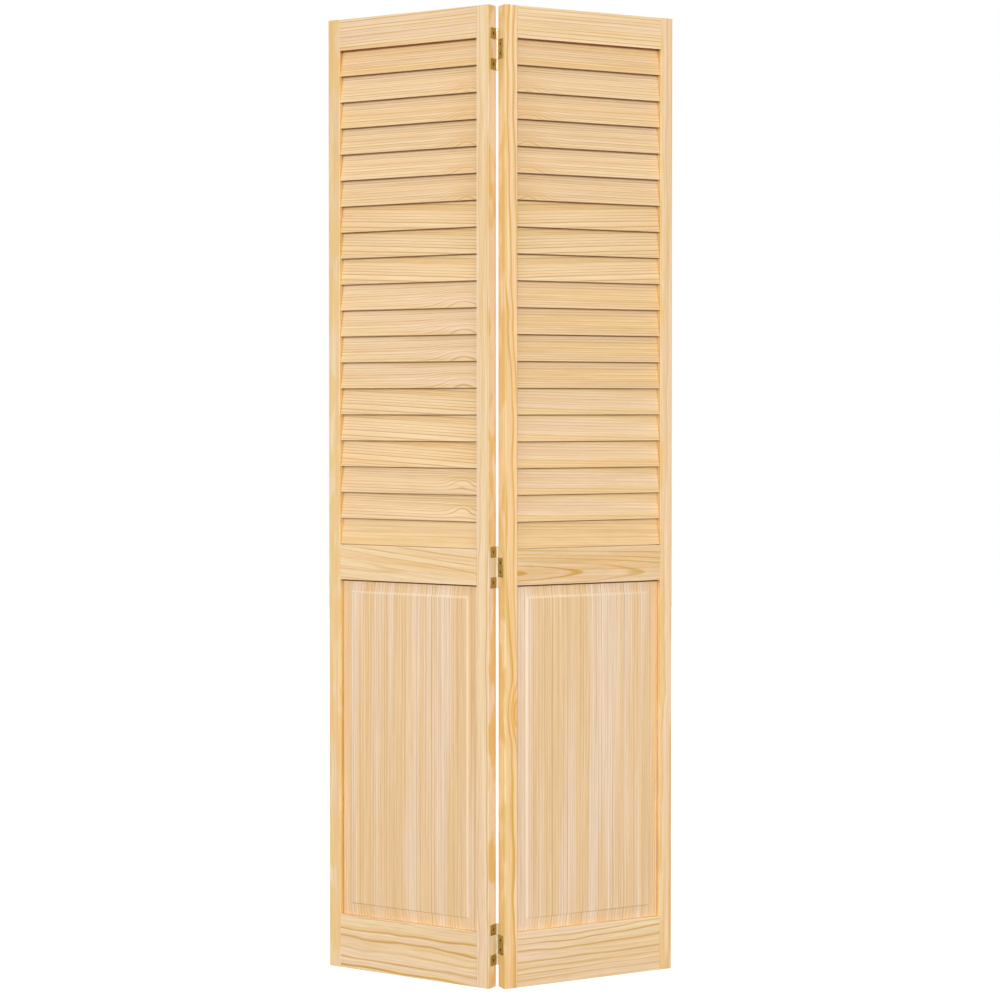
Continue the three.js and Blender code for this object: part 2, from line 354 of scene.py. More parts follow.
def pine_grain_group():
    """Yearly rings of a pine log, seen where the board was cut out of it."""
    group, w, given, wanted = effect_group(
        "pine grain",
        {
            "Vector": "Place, Knot Place",
            "Float": "Knot Size, Knot Warmth, Knot Core, Ring Width, Wander, Ripple, Late Share, "
                     "Late Strength, Tone, Warmth, Blush Share, Fibre, Streaks",
            "Color": "Pale Wood, Amber Wood, Late Wood, Blush, Knot Wood",
        },
        {"Color": "Colour", "Float": "Roughness, Height"},
    )
    place = given["Place"]

    # The log's slow bends, and ripples on them here and there
    def swing(kind, amount, detail):
        noise = w.figure(kind, place, detail=detail, colour=True)
        return w.scaled(w.vector("SUBTRACT", noise, (0.5, 0.5, 0.5)), w.times(amount, 2.0))
    rippled = w.patches("rippled stretches", place, LEAST_RIPPLE, detail=0.0)
    ripple = swing("ripples", w.times(given["Ripple"], rippled), 1.0)
    bend = w.vector("ADD", swing("bends", given["Wander"], 2.0), ripple)

    # A knot pushes the rings aside
    knot_distance = w.vector("LENGTH", given["Knot Place"])
    knot_reach = w.math("DIVIDE", knot_distance, given["Knot Size"])
    near_knot = w.math("EXPONENT", w.times(knot_reach, knot_reach, -1.0))
    cut = w.vector("MULTIPLY", w.vector("ADD", place, bend), (0, 1, 1))
    radius = w.math("ADD", w.vector("LENGTH", cut), w.times(near_knot, given["Knot Size"]))

    # Good and lean years make wide and narrow rings
    even_rings = w.math("DIVIDE", radius, given["Ring Width"])
    years = w.add("ShaderNodeCombineXYZ", {0: w.times(even_rings, YEARS_CHANGE)}).outputs[0]
    rings = w.math("ADD", even_rings, w.times(w.noise(years, detail=1.0), YEARS_DIFFER))

    # Each ring darkens slowly to its late wood, then starts pale again
    year = w.math("FLOOR", rings)
    within = w.math("FRACT", rings)
    own = w.add("ShaderNodeTexWhiteNoise", {"W": year}, noise_dimensions="1D").outputs["Value"]
    rise = w.step(within, w.less(1.0, given["Late Share"]), LATE_PEAK)
    fall = w.step(within, LATE_END, 1.0, 1.0, 0.0)
    late = w.times(rise, fall, w.spread(own, FAINTEST_YEAR, 1.0))
    late = w.times(late, w.patches("faint stretches", place, FAINTEST_STRETCH, detail=1.0))

    # Broad drifts of colour, long streaks, fine fibres and short resin ducts
    bent = w.vector("ADD", place, bend)
    drift = w.patches("drifts", bent)
    streaks = w.figure("streaks", bent)
    lines = w.figure("lines", bent, detail=1.0)
    fibre = w.figure("fibres", place, roughness=0.6)
    duct = w.patches("resin ducts", place, detail=0.0)

    # The colour: pale or blushed wood, warmed, then late wood, the knot's core and the fibres
    blush = w.times(drift, given["Blush Share"])
    wood = w.mix(blush, given["Pale Wood"], given["Blush"])
    warmth = w.math("MULTIPLY_ADD", w.less(streaks, 0.5), given["Streaks"], given["Warmth"])
    warmth = w.math("ADD", warmth, w.times(near_knot, given["Knot Warmth"]), clamp=True)
    warmed = w.times(warmth, w.less(1.0, w.times(blush, BLUSH_COOLS)))
    wood = w.mix(warmed, wood, given["Amber Wood"])
    wood = w.mix(w.times(late, given["Late Strength"]), wood, given["Late Wood"])
    core = w.step(knot_distance, *KNOT_CORE_EDGE, KNOT_CORE_DEPTH, 0.0)
    wood = w.mix(w.times(core, given["Knot Core"]), wood, given["Knot Wood"])
    streak = w.math("ADD", w.less(fibre, 0.5), w.times(w.less(lines, 0.5), LINES_SHARE))
    streak = w.less(w.times(streak, given["Fibre"]), w.times(duct, DUCT_DARKNESS))
    light = w.vector("ADD", w.scaled(BROWNING, streak), w.math("ADD", 1.0, given["Tone"]))
    w.feed(wanted["Colour"], w.vector("MULTIPLY", wood, light))

    # Late wood is harder: it shines more, and sanding leaves it proud
    w.feed(wanted["Roughness"], w.less(PINE_ROUGHNESS, w.times(late, LATE_WOOD_SHINE)))
    relief = w.math("ADD", w.times(late, LATE_WOOD_RELIEF), w.times(fibre, FIBRE_RELIEF))
    w.feed(wanted["Height"], w.less(relief, w.times(duct, DUCT_RELIEF)))
    return group


def sanded_and_highlit_edge_group():
    """How near a board's long corners are, or a raised field's rim, but for the rim's foot: a
    painted highlight, on the corners also the paler wood that sanding leaves.
    """
    group, w, given, wanted = effect_group(
        "sanded and highlit edge",
        {"Vector": "Board Place, Board Half", "Float": "Edge Reach, Rim Inset, Rim Reach"},
        {"Float": "Edge"},
    )
    inward = w.vector("SUBTRACT", given["Board Half"], w.vector("ABSOLUTE", given["Board Place"]))
    _, across, depth = w.split(inward)
    farther = w.math("MAXIMUM", across, depth)
    corner = w.step(farther, 0.0, given["Edge Reach"], 1.0, 0.0)
    from_top = w.split(w.vector("SUBTRACT", given["Board Half"], given["Board Place"]))[0]
    from_foot = w.split(w.vector("ADD", given["Board Half"], given["Board Place"]))[0]
    from_rim = w.less(w.math("MINIMUM", from_top, across), given["Rim Inset"])
    rim = w.step(w.math("ABSOLUTE", from_rim), 0.0, given["Rim Reach"], 1.0, 0.0)
    foot_end = w.math("ADD", given["Rim Inset"], given["Rim Reach"])
    rim = w.times(rim, w.step(from_foot, given["Rim Inset"], foot_end))
    w.feed(wanted["Edge"], w.math("MAXIMUM", corner, rim))
    return group


def painted_shade_band_group():
    """Painted shade: a strip along each face of a slat where the slats overlap, and a painted shadow
    at a panel's top end, below the rail.
    """
    group, w, given, wanted = effect_group(
        "painted shade band",
        {"Vector": "Board Place, Board Half", "Float": "Cover, End Cover, Softness"},
        {"Float": "Painted Shade"},
    )
    along, across, depth = w.split(given["Board Place"])
    half_length, half_width, _ = w.split(given["Board Half"])
    from_edge = w.math("ADD", half_width, w.times(across, w.math("SIGN", depth)))
    from_end = w.less(half_length, along)
    bands = []
    for distance, cover in ((from_edge, given["Cover"]), (from_end, given["End Cover"])):
        start = w.less(cover, given["Softness"])
        bands.append(w.step(distance, start, cover, 1.0, 0.0))
    w.feed(wanted["Painted Shade"], w.math("MAXIMUM", *bands))
    return group


def distance_from_side(w, given, side):
    """How far a point lies from the board's long side that has this sign."""
    _, across, _ = w.split(given["Board Place"])
    _, half_width, _ = w.split(given["Board Half"])
    return w.less(half_width, w.times(across, side))


def side_wall_group():
    """One long side of a board given a colour of its own: painted shade on undersides, a painted
    highlight on upper sides, amber with painted light on the outer stiles' inner sides, and paler
    tones on the hinge edges.
    """
    group, w, given, wanted = effect_group(
        "side wall", {"Vector": "Board Place, Board Half", "Float": "Wall Side"},
        {"Float": "Wall"})
    inward = distance_from_side(w, given, w.math("SIGN", given["Wall Side"]))
    wall = w.step(inward, *WALL_EDGE, 1.0, 0.0)
    w.feed(wanted["Wall"], w.times(wall, w.math("ABSOLUTE", given["Wall Side"])))
    return group


def resin_patch_group():
    """Amber patches where resin soaked the wood, down to some distance from one long side."""
    group, w, given, wanted = effect_group(
        "resin patches",
        {
            "Vector": "Place, Board Place, Board Half",
            "Float": "Resin Amount, Resin Side, Resin Reach",
        },
        {"Float": "Resin"},
    )
    swing = w.scaled(w.figure("resin swings", given["Place"], colour=True), RESIN_SWING)
    patch = w.patches("resin patches", w.vector("ADD", given["Place"], swing), detail=1.0)
    inward = distance_from_side(w, given, given["Resin Side"])
    near = w.step(inward, RESIN_FULL, given["Resin Reach"], 1.0, 0.0)
    w.feed(wanted["Resin"], w.times(patch, near, given["Resin Amount"]))
    return group


def tarnish_group():
    """Dark blotches on antique brass, rubbed off where it stands proud."""
    group, w, given, wanted = effect_group(
        "brass tarnish",
        {"Color": "Bright, Dull", "Float": "Amount, Grain Size"},
        {"Color": "Colour", "Float": "Roughness, Height"},
    )
    place = w.add("ShaderNodeTexCoord").outputs["Object"]
    fineness = w.math("DIVIDE", 1.0, given["Grain Size"])
    blotch = w.noise(w.scaled(place, fineness), detail=4.0, roughness=0.65)
    brushed = w.figure("brush strokes", place, detail=1.0)
    mask = w.times(w.step(blotch, *BLOTCH_EDGE), given["Amount"])
    mask = w.math("ADD", mask, w.times(w.less(brushed, 0.5), BRUSHED_DULLNESS), clamp=True)
    w.feed(wanted["Colour"], w.mix(mask, given["Bright"], given["Dull"]))
    w.feed(wanted["Roughness"], w.spread(mask, *BRASS_ROUGHNESS))
    w.feed(wanted["Height"], w.math("ADD", blotch, w.times(brushed, BRUSHED_RELIEF)))
    return group


PINE_GRAIN = pine_grain_group()
SANDED_AND_HIGHLIT_EDGE = sanded_and_highlit_edge_group()
PAINTED_SHADE_BAND = painted_shade_band_group()
SIDE_WALL = side_wall_group()
RESIN_PATCHES = resin_patch_group()
TARNISH = tarnish_group()

# What the attributes with a board's looks hold
BOARD_LOOKS = {
    "board_look": ("Tone", "Warmth", "Late Strength"),
    "board_rings": ("Ring Width", "Wander", "Late Share"),
    "board_bends": ("Ripple", "Wall Side", "Blush Share"),
    "board_knot": ("Knot Size", "Knot Warmth", "Knot Core"),
    "board_resin": ("Resin Amount", "Resin Side", "Resin Reach"),
}


def material_wiring(name):
    material = bpy.data.materials.new(name)
    material.use_nodes = True
    wiring = Wiring(material.node_tree)
    return material, wiring, material.node_tree.nodes["Principled BSDF"]


def bumped_surface(w, surface, colour, effect, strength, distance):
    """Feeds a surface its colour, and an effect's roughness and height."""
    w.feed(surface.inputs["Base Color"], colour)
    w.feed(surface.inputs["Roughness"], effect["Roughness"])
    bump = w.add("ShaderNodeBump", {
        "Height": effect["Height"], "Strength": strength, "Distance": distance})
    w.feed(surface.inputs["Normal"], bump.outputs["Normal"])


def pine(name, pale, amber, late, blush, fibre, streaks, edge_glow, sanded_and_highlit_wood=SANDED_AND_HIGHLIT_WOOD,
         rim_inset=NO_RIM, cover=0.0, end_shadow=0.0):
    """Bare, sanded pine. Where a board was cut from its log is kept in the board's own mesh."""
    material, w, surface = material_wiring(name)

    def board_value(attribute):
        return w.add("ShaderNodeAttribute", attribute_name=attribute).outputs["Vector"]
    facts = {
        "Place": board_value("grain_place"), "Knot Place": board_value("knot_place"),
        "Board Place": board_value("board_place"), "Board Half": board_value("board_half"),
        "Pale Wood": pale, "Amber Wood": amber, "Late Wood": late, "Blush": blush,
        "Knot Wood": KNOT_WOOD, "Fibre": fibre, "Streaks": streaks, "Edge Reach": EDGE_REACH,
        "Rim Inset": rim_inset, "Rim Reach": RIM_REACH, "Cover": cover, "End Cover": end_shadow,
        "Softness": PAINTED_SHADE_SOFTNESS}
    for attribute, labels in BOARD_LOOKS.items():
        facts.update(zip(labels, w.split(board_value(attribute))))

    grain = w.effect(PINE_GRAIN, facts)
    # Painted highlight on the long corners, also paler sanded wood there, and on the panels' field
    # rim
    edge = w.effect(SANDED_AND_HIGHLIT_EDGE, facts)["Edge"]
    colour = w.mix(w.times(edge, edge_glow), grain["Colour"], sanded_and_highlit_wood)
    # Long sides' own colours: painted shade on undersides, a painted highlight on upper sides,
    # painted light on the outer stiles' inner sides
    wall = w.effect(SIDE_WALL, facts)["Wall"]
    colour = w.mix(wall, colour, board_value("board_wall"))
    resin = w.effect(RESIN_PATCHES, facts)["Resin"]
    colour = w.mix(resin, colour, RESIN_WOOD)
    # Painted shade where slats overlap, and a painted shadow at the panel's top end
    if cover or end_shadow:
        covered = w.effect(PAINTED_SHADE_BAND, facts)["Painted Shade"]
        colour = w.mix(w.times(covered, PAINTED_SHADE_DARKNESS), colour, PAINTED_SHADE_WOOD)
    bumped_surface(w, surface, colour, grain, strength=0.25, distance=0.15 * MM)
    surface.inputs["IOR"].default_value = PINE_IOR
    surface.inputs["Specular IOR Level"].default_value = PINE_GLOSS
    return material


def brass(name, bright, dull, amount, grain_size, metal=1.0):
    """Antique brass plating with tarnish. Where metal is low, as on the barrels, the pale colour is
    a painted reflection.
    """
    material, w, surface = material_wiring(name)
    tarnish = w.effect(TARNISH, {
        "Bright": bright, "Dull": dull, "Amount": amount, "Grain Size": grain_size})
    bumped_surface(w, surface, tarnish["Colour"], tarnish, strength=0.2, distance=0.1 * MM)
    surface.inputs["Metallic"].default_value = metal
    return material


FRAME_PINE = pine(
    "pine of the stiles and rails", pale=shade(244, 215, 170), amber=shade(236, 180, 106),
    late=shade(218, 170, 86), blush=shade(244, 213, 182), fibre=0.34, streaks=1.6, edge_glow=0.6)
SLAT_PINE = pine(
    "pine of the slats", pale=shade(243, 212, 161), amber=shade(234, 184, 116),
    late=shade(188, 128, 64), blush=shade(243, 212, 176), fibre=0.36, streaks=1.1, edge_glow=0.8,
    cover=SLAT_WIDTH - SLAT_VISIBLE - SLAT_BARE)
PANEL_PINE = pine(
    "pine of the panels", pale=shade(239, 206, 160), amber=shade(232, 184, 122),
    late=shade(202, 154, 98), blush=shade(243, 217, 190), fibre=0.32, streaks=0.8, edge_glow=0.45,
    sanded_and_highlit_wood=PANEL_RIM_HIGHLIGHT_WOOD, rim_inset=BEVEL_WIDTH + OGEE_WIDTH / 2, end_shadow=PANEL_PAINTED_SHADOW)
PLATE_BRASS = brass(
    "brass of the plates", bright=shade(213, 194, 126), dull=shade(140, 118, 60), amount=0.8,
    grain_size=1.6 * MM)
# The barrels' and pins' near-white colour is a painted reflection of the white studio
PAINTED_REFLECTION_BRASS = brass(
    "brass of the barrels with painted reflection", bright=shade(255, 244, 218), dull=shade(242, 224, 188), amount=0.4,
    grain_size=2.4 * MM, metal=0.2)
SCREW_BRASS = brass(
    "brass of the screws", bright=shade(168, 128, 66), dull=shade(70, 46, 16), amount=0.85,
    grain_size=1.1 * MM)

# The colours of boards' long sides
# Amber, the wood's own, lightened as painted light, for the outer stiles' inner sides
AMBER_PAINTED_LIGHT_WALL = shade(252, 218, 146)
# Painted highlight for the bottom rails' upper sides
PAINTED_HIGHLIGHT_WALL = shade(255, 232, 190)
# Painted shade for the undersides of rails and slats
PAINTED_SHADE_WALL = shade(178, 110, 42)
LEFT_EDGE_WALL = shade(250, 230, 204)
RIGHT_EDGE_WALL = shade(250, 226, 176)


# Boards: where each one lies in its leaf, and in the log that it was cut from
def board(along, across, centre, half):
    """A board's directions in the leaf, its middle and its half sizes along, across and in depth."""
    return {
        "turn": Matrix((along, across, along.cross(across))),
        "centre": Vector(centre),
        "half": Vector(half),
    }


def cut_from_log(pith_across, pith_depth, tilt_across=0.0, tilt_depth=0.0, along=0.0,
                 ring=4.5, wander=2.0, ripple=0.4, share=0.35, tone=0.0, warmth=0.3,
                 strength=0.6, blush=0.6, knot=None, knot_size=12.0, knot_length=2.0,
                 knot_warmth=0.0, knot_core=0.0, wall=(0.0, AMBER_PAINTED_LIGHT_WALL), resin=(0.0, 0.0, 1.0)):
    """How a board sits in its log, and how its wood looks.

    Lengths are in millimetres and angles in degrees. The place along the log is in metres.
    Resin is an amount, a side (0 for the whole board) and a reach.
    """
    wall_side, wall_colour = wall
    resin_amount, resin_side, resin_reach = resin
    return {
        "turn": (Matrix.Rotation(math.radians(tilt_across), 3, "Z")
                 @ Matrix.Rotation(math.radians(tilt_depth), 3, "Y")),
        "shift": Vector((along, pith_across * MM, pith_depth * MM)),
        "knot": Vector(knot) * MM if knot else None,
        "knot_length": knot_length,
        "looks": {
            "board_look": (tone, warmth, strength),
            "board_rings": (ring * MM, wander * MM, share),
            "board_bends": (ripple * MM, wall_side, blush),
            "board_knot": (knot_size * MM, knot_warmth, knot_core),
            "board_wall": wall_colour[:3],
            "board_resin": (resin_amount, resin_side, resin_reach * MM),
        },
    }


def write_vectors(mesh, name, values):
    attribute = mesh.attributes.new(name, "FLOAT_VECTOR", "POINT")
    attribute.data.foreach_set("vector", [part for value in values for part in value])


def mark_board(mesh, leaf, piece, log):
    """Writes into the mesh where each of its points lies in the board and in the log."""
    to_leaf = leaf.inverted()
    places = [piece["turn"] @ (to_leaf @ vertex.co - piece["centre"]) for vertex in mesh.vertices]
    write_vectors(mesh, "board_place", places)
    write_vectors(mesh, "grain_place", [log["turn"] @ place + log["shift"] for place in places])
    shrink = Vector((1 / log["knot_length"], 1, 1))
    knots = [(place - log["knot"]) * shrink if log["knot"] else NO_KNOT for place in places]
    write_vectors(mesh, "knot_place", knots)
    for name, value in {"board_half": piece["half"], **log["looks"]}.items():
        write_vectors(mesh, name, [value] * len(places))


def mesh_of(shape, name):
    mesh = bpy.data.meshes.new(name)
    shape.to_mesh(mesh)
    shape.free()
    return mesh


def place_object(name, data):
    made = bpy.data.objects.new(name, data)
    bpy.context.scene.collection.objects.link(made)
    return made


def finish_piece(name, mesh, material, body, nodes=()):
    """Puts a mesh in the scene as a piece that rides on a body and stands for its CAD nodes."""
    mesh.materials.append(material)
    piece = place_object(name, mesh)
    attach(piece, body)
    if nodes:
        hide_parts(*nodes)
    return piece


def smooth_mesh(shape, name, sharp_angle):
    """Turns a built shape into a welded mesh that is smooth but for its sharp edges."""
    bmesh.ops.remove_doubles(shape, verts=shape.verts, dist=WELD_DISTANCE)
    bmesh.ops.recalc_face_normals(shape, faces=shape.faces)
    mesh = mesh_of(shape, name)
    mesh.shade_smooth()
    mesh.set_sharp_from_angle(angle=math.radians(sharp_angle))
    return mesh


def finish_board(node, shape, piece, log, material, sharp_angle):
    """Turns a built shape into the board that stands for its CAD node.

    Its flat faces stay flat, and only the rounded corners between them turn the light.
    """
    leaf_name = node.split("_")[0]
    mesh = smooth_mesh(shape, node + "_board", sharp_angle)
    mark_board(mesh, LEAVES[leaf_name], piece, log)
    made = finish_piece(node + "_board", mesh, material, leaf_name + "_leaf", [node])
    made.modifiers.new("flat faces", "WEIGHTED_NORMAL").keep_sharp = True


# Outlines and prisms
def rounded_outline(half_width, half_height, radius, steps):
    """A rectangle with rounded corners, anticlockwise."""
    points = []
    for index, (side_x, side_y) in enumerate(CORNERS):
        for step in range(steps + 1):
            angle = math.pi + (index + step / steps) * math.pi / 2
            points.append((
                side_x * (half_width - radius) + radius * math.cos(angle),
                side_y * (half_height - radius) + radius * math.sin(angle)))
    return points


def join_rings(shape, ring, following):
    for index in range(len(ring)):
        after = (index + 1) % len(ring)
        shape.faces.new((ring[index], ring[after], following[after], following[index]))


def loft(shape, loops):
    """Joins loops of equally many points with faces, and caps the first and last one."""
    rings = [[shape.verts.new(point) for point in loop] for loop in loops]
    for ring, following in zip(rings, rings[1:]):
        join_rings(shape, ring, following)
    shape.faces.new(rings[0][::-1])
    shape.faces.new(rings[-1])


def frame_board(node, log):
    """A stile or rail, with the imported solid's own shape."""
    shape = bmesh.new()
    shape.from_mesh(frame["nodes"][node].data)
    part = node.split("_", 1)[1]
    finish_board(
        node, shape, FRAME_BOARDS[part], log, FRAME_PINE, sharp_angle=50)


def slat_middle(index):
    """A slat's middle, where its lower edge is just clear of the line between two slats."""
    inner_width = SLAT_WIDTH / 2 - SLAT_ROUNDING
    inner_depth = SLAT_THICKNESS / 2 - SLAT_ROUNDING
    sine, cosine = math.sin(SLAT_LEAN), math.cos(SLAT_LEAN)
    half_depth = inner_width * sine + inner_depth * cosine + SLAT_ROUNDING
    half_height = inner_width * cosine + inner_depth * sine + SLAT_ROUNDING
    return Vector((
        LEAF_MIDDLE_X,
        FRONT_Y - SLAT_SETBACK - half_depth,
        TOP_RAIL_BOTTOM - (index + 1) * SLAT_PITCH + JOINT_GAP + half_height))


def slat(leaf_name, index, log):
    """One louvre slat: a thin board with rounded long edges, leaning with its lower edge forward."""
    across = Vector((0, -math.sin(SLAT_LEAN), math.cos(SLAT_LEAN)))
    half_length = OPENING_WIDTH / 2 + SLAT_HOUSING - JOINT_GAP
    half_width, half_depth = SLAT_WIDTH / 2, SLAT_THICKNESS / 2
    piece = board(WIDTHWAYS, across, slat_middle(index), (half_length, half_width, half_depth))
    outline = rounded_outline(half_width, half_depth, SLAT_ROUNDING, SLAT_ROUNDING_STEPS)
    to_leaf = piece["turn"].transposed()
    stations = (
        (-half_length, SLAT_END_EASE), (SLAT_END_EASE - half_length, 0.0),
        (half_length - SLAT_END_EASE, 0.0), (half_length, SLAT_END_EASE))
    loops = []
    for station, ease in stations:
        shrink_width, shrink_depth = 1 - ease / half_width, 1 - ease / half_depth
        loops.append([
            LEAVES[leaf_name] @ (piece["centre"] + to_leaf @ Vector(
                (station, x * shrink_width, y * shrink_depth)))
            for x, y in outline])
    shape = bmesh.new()
    loft(shape, loops)
    node = f"{leaf_name}_slat_{index + 1:02d}"
    finish_board(node, shape, piece, log, SLAT_PINE, sharp_angle=40)


def panel_profile():
    """The panel's front half, from its tongue to the raised field: inset from the opening, depth."""
    field = LEAF_THICKNESS / 2 - FIELD_SETBACK
    foot = field - FIELD_STEP
    tongue = TONGUE_THICKNESS / 2
    profile = [
        (-TONGUE_REACH, tongue - TONGUE_EASE), (TONGUE_EASE - TONGUE_REACH, tongue), (0.0, tongue)]
    for step in range(OGEE_STEPS + 1):
        share = step / OGEE_STEPS
        rise = share - math.sin(2 * math.pi * share) / (2 * math.pi)
        profile.append((BEVEL_WIDTH + OGEE_WIDTH * share, foot + FIELD_STEP * rise))
    return profile


def panel(leaf_name, log):
    """The raised panel, alike on both faces: a long bevel, then a small ogee up to a flat field."""
    half_width, half_height = OPENING_WIDTH / 2, PANEL_OPENING_HEIGHT / 2
    centre = Vector((LEAF_MIDDLE_X, MIDDLE_Y, BOTTOM_RAIL_HEIGHT + half_height))
    piece = board(UPWARDS, WIDTHWAYS, centre, (half_height, half_width, NO_CORNERS))
    front = panel_profile()
    loops = []
    for inset, depth in [(inset, -depth) for inset, depth in reversed(front)] + front:
        x, z = half_width - inset, half_height - inset
        loops.append([
            LEAVES[leaf_name] @ (centre + Vector((side_x * x, depth, side_z * z)))
            for side_x, side_z in CORNERS])
    shape = bmesh.new()
    loft(shape, loops)
    node = leaf_name + "_panel"
    finish_board(node, shape, piece, log, PANEL_PINE, sharp_angle=35)


def stile_board(x):
    return board(UPWARDS, WIDTHWAYS, (x, MIDDLE_Y, DOOR_HEIGHT / 2),
                 (DOOR_HEIGHT / 2, STILE_WIDTH / 2, LEAF_THICKNESS / 2))


def rail_board(low, high):
    return board(WIDTHWAYS, UPWARDS, (LEAF_MIDDLE_X, MIDDLE_Y, (low + high) / 2),
                 (OPENING_WIDTH / 2, (high - low) / 2, LEAF_THICKNESS / 2))


FRAME_BOARDS = {
    "hinge_stile": stile_board(EDGE_GAP + STILE_WIDTH / 2),
    "outer_stile": stile_board(EDGE_GAP + LEAF_WIDTH - STILE_WIDTH / 2),
    "top_rail": rail_board(TOP_RAIL_BOTTOM, DOOR_HEIGHT),
    "mid_rail": rail_board(MID_RAIL_BOTTOM, MID_RAIL_TOP),
    "bottom_rail": rail_board(0, BOTTOM_RAIL_HEIGHT),
}

# A long side with a colour of its own: which side, how strongly, and the colour. Undersides carry
# painted shade and the bottom rails' upper sides a painted highlight; the outer stiles' inner sides
# are amber with painted light
OUTER_STILE_WALL = (-0.8, AMBER_PAINTED_LIGHT_WALL)
SHADED_UNDERSIDE = (-1.0, PAINTED_SHADE_WALL)
HIGHLIT_UPPER_SIDE = (1.0, PAINTED_HIGHLIGHT_WALL)
FRAME_LOGS = {
    "left_hinge_stile": cut_from_log(
        56, 5, 0.12, 0.25, 7.5, ring=19, wander=10, ripple=5, share=0.2, warmth=0.05,
        strength=1.0, blush=0.8, wall=(-0.55, LEFT_EDGE_WALL), resin=(0.9, -1, 4)),
    "left_outer_stile": cut_from_log(
        2, 50, -0.3, -0.25, 15.6, ring=20, wander=18, ripple=6, share=0.5, tone=-0.01,
        warmth=0.12, strength=0.9, blush=0.4, wall=OUTER_STILE_WALL, resin=(0.6, 0, 200)),
    "left_top_rail": cut_from_log(
        -75, 10, 0.8, 0, 2.2, ring=7.5, wander=3, ripple=0.6, share=0.3, warmth=0.12,
        strength=1.3, blush=0.9, wall=SHADED_UNDERSIDE),
    "left_mid_rail": cut_from_log(
        15, 52, -4.5, 1.2, 6.6, ring=10, wander=5, ripple=2, share=0.2, warmth=0.12,
        strength=1.2, blush=0.3, wall=SHADED_UNDERSIDE),
    "left_bottom_rail": cut_from_log(
        -60, 30, -0.8, 1.0, 10.0, ring=22, wander=12, ripple=9, share=0.36, tone=-0.02,
        warmth=0.1, strength=1.3, blush=0.6, knot=(-118, -36, 12), knot_size=12,
        knot_warmth=0.9, knot_core=0.12, wall=HIGHLIT_UPPER_SIDE),
    "right_hinge_stile": cut_from_log(
        26, 40, 0.5, -0.45, 16.2, ring=7, wander=7, ripple=3.6, share=0.45, tone=0.11,
        warmth=0.42, strength=1.6, blush=0.3, knot=(-440, 9, 8), knot_size=13, knot_length=3.5,
        knot_warmth=0.7, wall=(-0.55, RIGHT_EDGE_WALL), resin=(0.85, -1, 7)),
    "right_outer_stile": cut_from_log(
        30, 42, 0.15, 0.3, 7.2, ring=14, wander=12, ripple=2.5, share=0.4, tone=0.02,
        warmth=0.25, strength=0.6, blush=0.6, wall=OUTER_STILE_WALL, resin=(0.6, -1, 14)),
    "right_top_rail": cut_from_log(
        -80, -10, 0.5, 0.4, 0.6, ring=7.5, wander=3, ripple=0.8, share=0.3, tone=0.04,
        warmth=0.04, strength=1.2, blush=1.0, wall=SHADED_UNDERSIDE),
    "right_mid_rail": cut_from_log(
        15, 36, 0.6, -2.8, 1.9, ring=8, wander=4, ripple=2, share=0.3, tone=-0.05,
        warmth=0.38, strength=1.9, blush=0.4, wall=SHADED_UNDERSIDE),
    "right_bottom_rail": cut_from_log(
        -80, -25, -0.8, 0.6, 2.9, ring=12, wander=8, ripple=5, share=0.34, tone=-0.01,
        warmth=0.12, strength=1.2, blush=0.8, wall=HIGHLIT_UPPER_SIDE),
}

SLAT_DEFAULTS = {"warmth": 0.25, "strength": 0.75, "share": 0.3, "wall": SHADED_UNDERSIDE}
SLATS_DIFFER = {"warmth": 0.1, "pith": 3, "tilt": 0.2, "along": 0.06, "tone": 0.02}

# The kinds of log that the slats were sawn from, and which kind each slat is, from the top down
SLAT_LOGS = {
    "straight": dict(along=8, pith=(80, 10), tilt=(0.5, 0), ring=4.8, wander=1.5),
    "humped": dict(
        along=6, pith=(-74, -8), tilt=(0.2, 0.4), ring=4.2, wander=2.0, warmth=0.2, blush=0.6,
        strength=1.0, knot=(-143, -18, 0), knot_size=16, knot_length=2.8, knot_warmth=0.6),
    "fanned": dict(
        along=6, pith=(70, 4), tilt=(-3.0, 0.6), ring=7.0, wander=3.0, blush=0.4, share=0.26,
        strength=1.0),
    "pale humped": dict(
        along=11, pith=(-70, 6), tilt=(0.4, -0.4), ring=5.4, wander=2.4, warmth=0.12, blush=1.0,
        strength=0.9, knot=(-134, -14, 0), knot_size=20, knot_length=3.4),
    "curved": dict(
        along=6, pith=(-66, -4), tilt=(-0.8, 0), ring=5.6, wander=3.0, strength=0.9,
        knot=(-132, -2, 0), knot_size=16, knot_length=2.2),
    "plain": dict(
        along=5, pith=(90, 0), tilt=(0.3, 0), ring=6.0, wander=2.0, warmth=0.35, strength=0.25,
        blush=0.4),
    "fine": dict(
        along=4, pith=(85, 8), tilt=(0, 0), ring=4.4, wander=1.2, warmth=0.3, strength=0.7,
        share=0.4),
    "slanting": dict(
        along=8, pith=(80, -6), tilt=(1.5, 0.5), ring=5.6, wander=3.0, strength=0.5, blush=0.8),
    "yellow": dict(
        along=6, pith=(60, 30), tilt=(1.4, 0.6), ring=5.2, wander=2.0, warmth=0.45, strength=0.5,
        blush=0.2),
}
SLAT_KINDS = {
    "left": (["straight"] + ["humped"] * 5 + ["fanned"] * 3 + ["pale humped"] * 4
             + ["fanned"] * 3 + ["curved"] * 2 + ["plain"]),
    "right": (["straight"] + ["humped"] * 5 + ["fanned"] * 3 + ["fine"] * 4
              + ["slanting"] * 5 + ["yellow"]),
}
